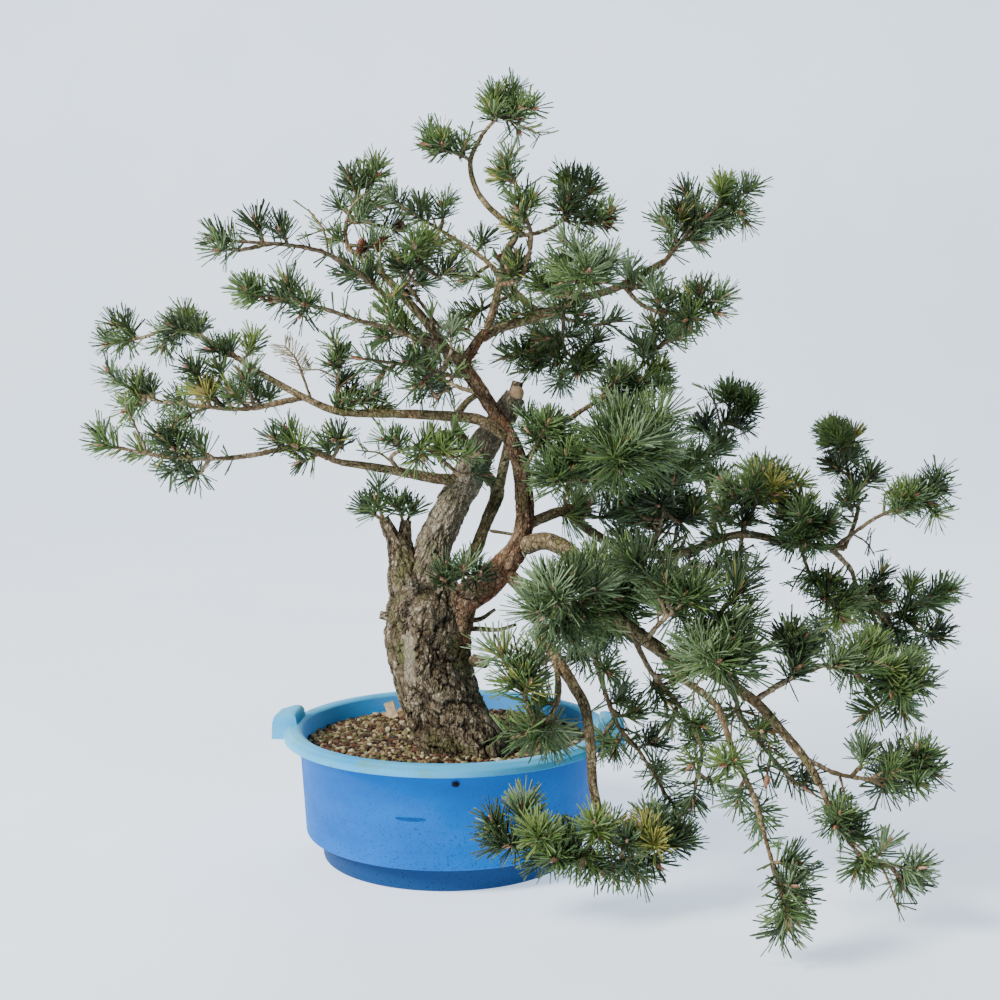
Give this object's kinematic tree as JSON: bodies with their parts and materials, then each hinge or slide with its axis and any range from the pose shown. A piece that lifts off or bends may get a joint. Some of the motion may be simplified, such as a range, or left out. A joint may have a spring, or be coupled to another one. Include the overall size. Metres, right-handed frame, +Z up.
{
  "type": "scots pine bonsai in tub",
  "caption": "Scots pine grown as a bonsai in a round plastic tub: a thick scarred trunk, a reddish upper limb, bare twisting boughs and separate tufts of needles, some hanging past the rim.",
  "frame": {"origin": "centre of the tub's flat underside", "axes": "+Z up along the tub's axis, -Y towards the side the picture shows, +X towards the long hanging boughs"},
  "size_m": [1.0338, 0.6045, 0.8498],
  "materials": {
    "tub": "weathered blue plastic",
    "soil": "loose gravel grains",
    "bark": "deeply fissured grey bark",
    "red_bark": "flaking reddish bark",
    "young_bark": "rough pale brown bark",
    "needles": "dark green needles"
  },
  "bodies": {
    "root": {"tub": "tub", "soil": "soil", "trunk": "bark", "red_limb": "red_bark", "mossy_limb": "bark", "left_upper_bough": "young_bark", "left_lower_bough": "young_bark", "left_high_bough": "young_bark", "leader": "young_bark", "right_high_bough": "young_bark", "right_middle_bough": "young_bark", "right_low_bough": "young_bark", "right_long_bough": "young_bark", "front_bough": "young_bark", "needles_left_low": "needles", "needles_left_outer": "needles", "needles_left_crown": "needles", "needles_left_knee": "needles", "needles_inner_dark": "needles", "needles_left_top": "needles", "needles_back_top": "needles", "needles_left_brush": "needles", "needles_left_fan": "needles", "needles_left_cross": "needles", "needles_left_dark": "needles", "needles_apex": "needles", "needles_top_left": "needles", "needles_top_middle": "needles", "needles_top_right": "needles", "needles_right_tip": "needles", "needles_near_high": "needles", "needles_right_shelf": "needles", "needles_right_stair": "needles", "needles_right_inner": "needles", "needles_near_knot": "needles", "needles_near_fan": "needles", "needles_near_round": "needles", "needles_right_heart": "needles", "needles_right_fringe": "needles", "needles_right_rise": "needles", "needles_right_dense": "needles", "needles_right_front": "needles", "needles_right_peak": "needles", "needles_right_wing": "needles", "needles_right_drip": "needles", "needles_right_skirt": "needles", "needles_right_arm": "needles", "needles_near_low": "needles", "needles_right_belly": "needles", "needles_near_centre": "needles", "needles_stilt": "needles", "needles_hook": "needles", "needles_right_fall": "needles", "needles_tail": "needles", "needles_low_arm": "needles", "needles_low_tip": "needles", "needles_curl": "needles", "needles_foot_fan": "needles", "needles_foot_brush": "needles", "needles_back_moss": "needles"}
  },
  "joints": []
}
